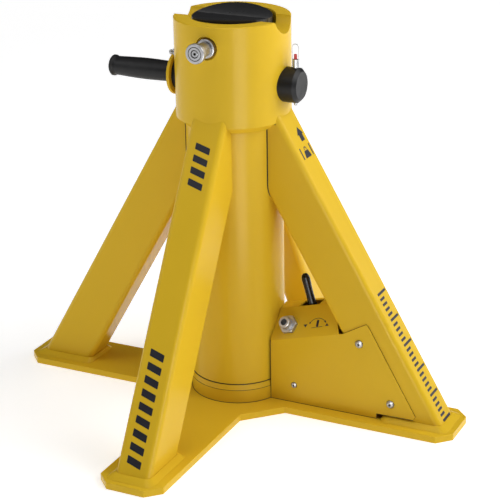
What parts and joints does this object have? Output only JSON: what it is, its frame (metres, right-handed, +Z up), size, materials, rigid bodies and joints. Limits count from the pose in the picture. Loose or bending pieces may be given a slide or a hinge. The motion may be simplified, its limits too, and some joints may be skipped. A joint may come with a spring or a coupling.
{
  "type": "axle jack stand",
  "caption": "Tall axle jack stand: a ram with a dished saddle rises in a column braced by four sloping box legs on a cross base, held by a cross pin, with an air valve.",
  "frame": {"origin": "centre of the base's underside", "axes": "+Z up along the ram; +X towards the leg with the control valve, along the load pin; -Y towards the pull plunger"},
  "size_m": [0.85, 0.85, 0.7055],
  "materials": {
    "yellow_paint": "satin gloss",
    "black_steel": "satin black oxide",
    "bright_steel": "bright zinc",
    "dark_steel": "machined",
    "grip_rubber": "matte",
    "black_plastic": "moulded",
    "red_plastic": "gloss",
    "guide_plastic": "moulded",
    "seal_rubber": "matte",
    "valve_aluminium": "satin",
    "brass": "sintered",
    "hose_plastic": "smooth"
  },
  "bodies": {
    "stand": {"base_plate": "yellow_paint", "cylinder_end_cap": "yellow_paint", "column_tube": "yellow_paint", "column_foot_weld": "yellow_paint", "collar": "yellow_paint", "collar_weld": "yellow_paint", "guide_rings": "guide_plastic", "grease_nipple": "bright_steel", "leg_right": "yellow_paint", "leg_front": "yellow_paint", "leg_left": "yellow_paint", "leg_rear": "yellow_paint", "leg_foot_welds": "yellow_paint", "plunger_bushing": "bright_steel", "plunger_spring": "dark_steel", "valve_cover": "yellow_paint", "rear_cover": "yellow_paint", "cover_screws_m8": "bright_steel", "cover_screws_m6": "bright_steel", "cover_spacer": "bright_steel", "air_inlet": "bright_steel", "inlet_nut": "bright_steel", "valve_body": "valve_aluminium", "valve_plugs": "bright_steel", "valve_bracket": "yellow_paint", "valve_screws": "bright_steel", "valve_fittings": "brass", "silencer": "brass", "cylinder_port": "brass", "supply_hose": "hose_plastic", "lift_hose": "hose_plastic", "lever_pivot_pin": "bright_steel", "lever_spring": "dark_steel"},
    "ram": {"ram_tube": "black_steel", "ram_head": "black_steel", "saddle": "black_steel", "piston": "dark_steel", "piston_seal": "seal_rubber"},
    "load_pin": {"load_pin": "black_steel", "pin_flange": "yellow_paint", "handle_rod": "dark_steel", "hand_grip": "grip_rubber"},
    "ball_lock": {"lock_pin_shank": "bright_steel", "lock_pin_balls": "bright_steel", "lock_pin_barrel": "bright_steel"},
    "lock_button": {"lock_pin_button": "red_plastic"},
    "lock_loop": {"lock_pin_loop": "bright_steel"},
    "plunger": {"plunger_shaft": "bright_steel", "plunger_knob": "bright_steel", "plunger_screw": "bright_steel"},
    "control_lever": {"lever_rod": "dark_steel", "lever_grip": "black_plastic"},
    "valve_spool": {"valve_spool": "bright_steel"}
  },
  "joints": [
    {"name": "ram_lift", "type": "slide", "parent": "stand", "child": "ram", "axis": [0, 0, 1], "range_m": [0, 0.3]},
    {"name": "load_pin_turn", "type": "hinge", "parent": "stand", "child": "load_pin", "pos_m": [0, 0, 0.5885], "axis": [1, 0, 0], "range_deg": [0, 90]},
    {"name": "ball_lock_pull", "type": "slide", "parent": "load_pin", "child": "ball_lock", "axis": [0, 0, 1], "range_m": [0, 0.08]},
    {"name": "lock_button_press", "type": "slide", "parent": "ball_lock", "child": "lock_button", "axis": [0, 0, -1], "range_m": [0, 0.003], "stiffness_N_per_m": 800, "springref_m": -0.002},
    {"name": "lock_loop_swing", "type": "hinge", "parent": "ball_lock", "child": "lock_loop", "pos_m": [0.117, 0, 0.6215], "axis": [1, 0, 0], "range_deg": [-85, 85]},
    {"name": "plunger_pull", "type": "slide", "parent": "stand", "child": "plunger", "axis": [0, -1, 0], "range_m": [0, 0.01], "stiffness_N_per_m": 1500, "springref_m": -0.006, "deforming": ["plunger_spring"]},
    {"name": "lever_tilt", "type": "hinge", "parent": "stand", "child": "control_lever", "pos_m": [0.15241, 0.0125, 0.14551], "axis": [0, 1, 0], "range_deg": [-13, 13], "stiffness_Nm_per_rad": 1.5},
    {"name": "spool_slide", "type": "slide", "parent": "stand", "child": "valve_spool", "axis": [0.9659, 0, 0.2588], "range_m": [-0.0045, 0.0045]}
  ],
  "couplings": [
    {"joint": "spool_slide", "follows": "lever_tilt", "m_per_rad": -0.0182}
  ]
}
